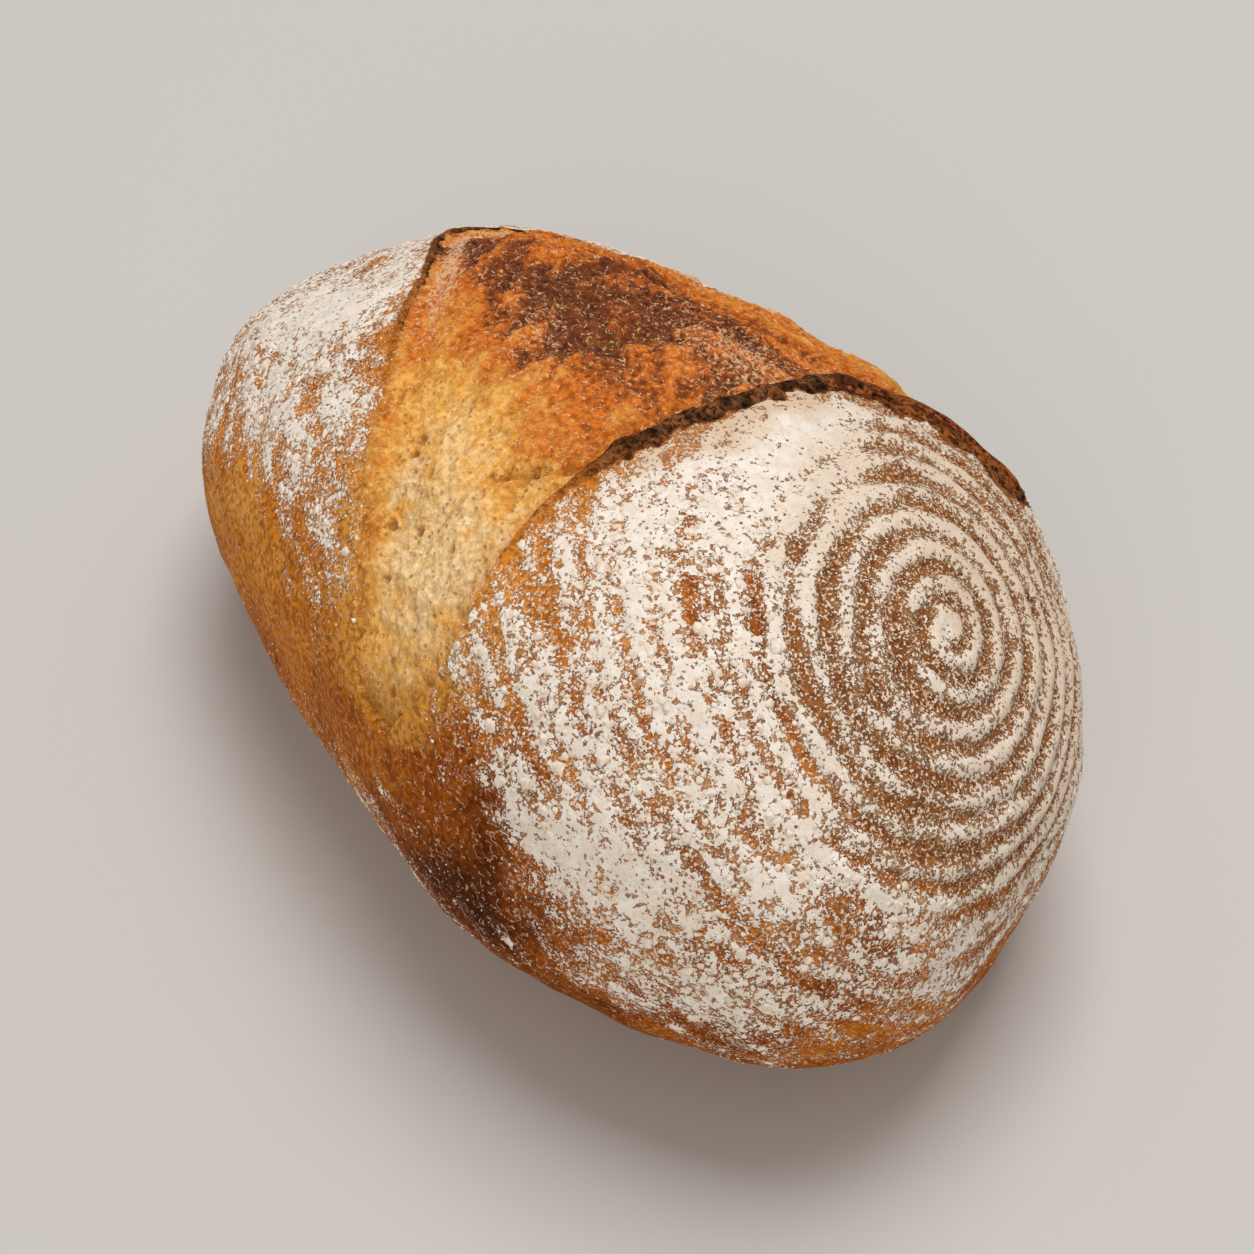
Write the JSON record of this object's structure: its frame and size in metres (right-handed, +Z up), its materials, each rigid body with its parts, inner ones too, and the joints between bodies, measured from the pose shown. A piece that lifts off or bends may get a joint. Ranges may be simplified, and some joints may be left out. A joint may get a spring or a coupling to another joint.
{
  "type": "sourdough loaf",
  "caption": "Long free-standing sourdough loaf, wide at one end, with a risen slash, a rough ear and floured basket rings, on a flat base.",
  "frame": {"origin": "middle of the flat base, under the middle of the loaf's bounding box", "axes": "+X along the loaf towards its wide end with the basket rings, +Y to the side where the slash runs further back, +Z up"},
  "size_m": [0.2824, 0.1716, 0.1205],
  "materials": {
    "crust": "dry baked crust, golden to dark brown, dusted with flour",
    "crumb": "dry golden crumb that burst through the slash",
    "flour": "loose pale flour, matte"
  },
  "bodies": {
    "root": {"loaf": "crust"}
  },
  "joints": []
}
